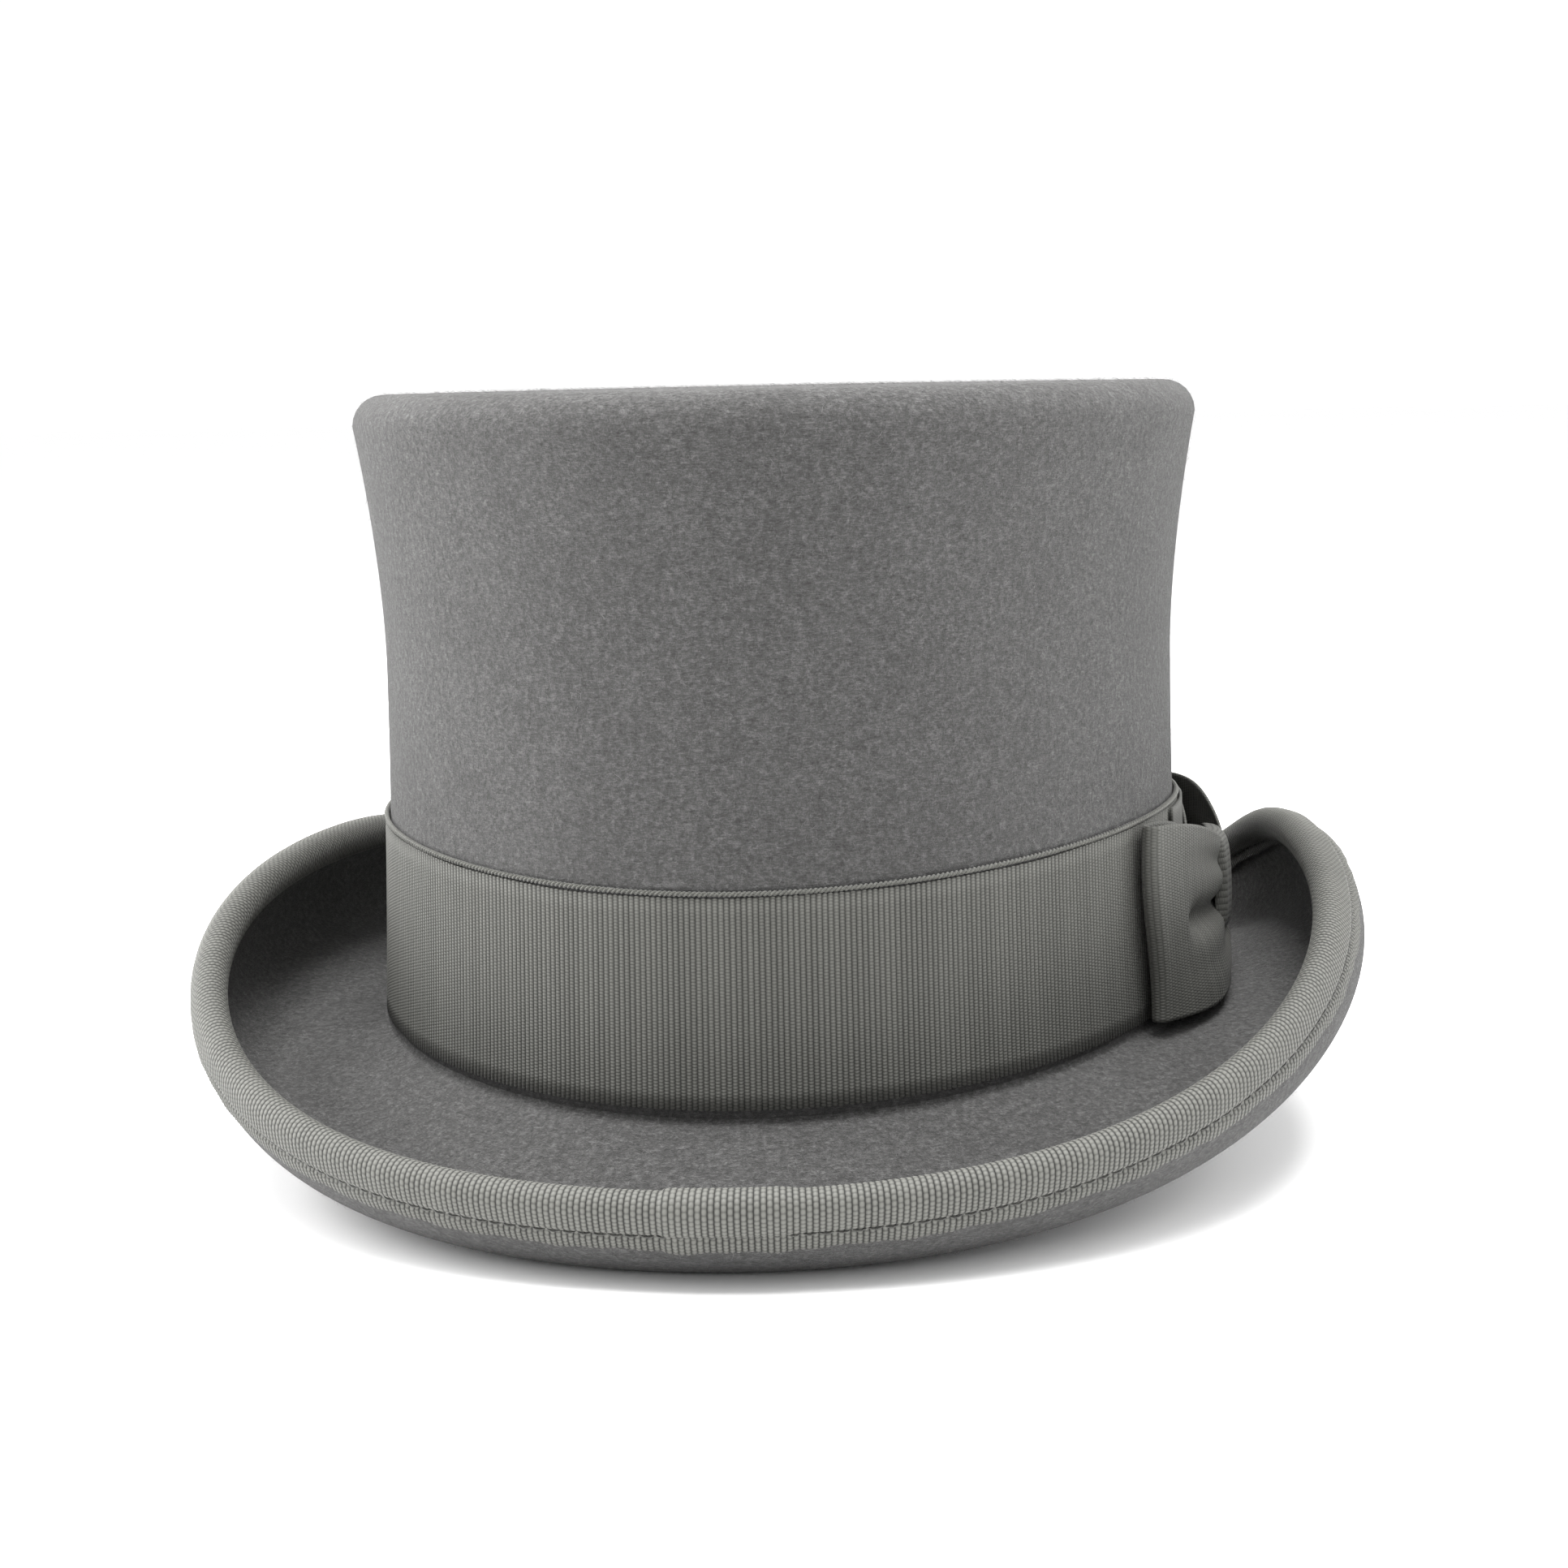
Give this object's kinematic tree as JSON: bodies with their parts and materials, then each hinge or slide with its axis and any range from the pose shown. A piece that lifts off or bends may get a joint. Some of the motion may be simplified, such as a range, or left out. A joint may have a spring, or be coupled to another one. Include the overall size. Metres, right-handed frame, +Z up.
{
  "type": "top hat",
  "caption": "Wool felt top hat with a waisted crown, curled and bound brim, grosgrain band, tailored side bow, sweatband and satin lining.",
  "frame": {"origin": "middle of the hat's bounding box at the level it stands on, the flattened undersides of the brim front and back", "axes": "+Z up through the crown, +Y towards the back of the hat, -Y the front, +X the wearer's left, where the bow is"},
  "size_m": [0.2428, 0.3025, 0.1574],
  "materials": {
    "felt": "matt grey wool felt with a short nap",
    "grosgrain": "ribbed grosgrain ribbon, warm greenish grey, faint sheen",
    "edge_cord": "two-ply twisted cord, pale grey",
    "thread": "sewing thread, grey",
    "leather": "smooth brown sheepskin",
    "reed": "pale extruded reed",
    "tape": "plain woven cotton tape",
    "satin": "grey satin lining, glossy"
  },
  "bodies": {
    "root": {"felt_body": "felt", "brim_binding": "grosgrain", "binding_thread_outer": "thread", "binding_thread_inner": "thread", "hatband": "grosgrain", "hatband_edge_cord": "edge_cord", "bow_backing": "grosgrain", "bow_front_loop": "grosgrain", "bow_rear_loop": "grosgrain", "bow_knot": "grosgrain", "sweatband": "leather", "sweatband_reed": "reed", "sweatband_reed_tape": "tape", "sweatband_thread": "thread", "sweatband_back_tab": "leather", "lining_side": "satin", "lining_tip": "satin"}
  },
  "joints": []
}
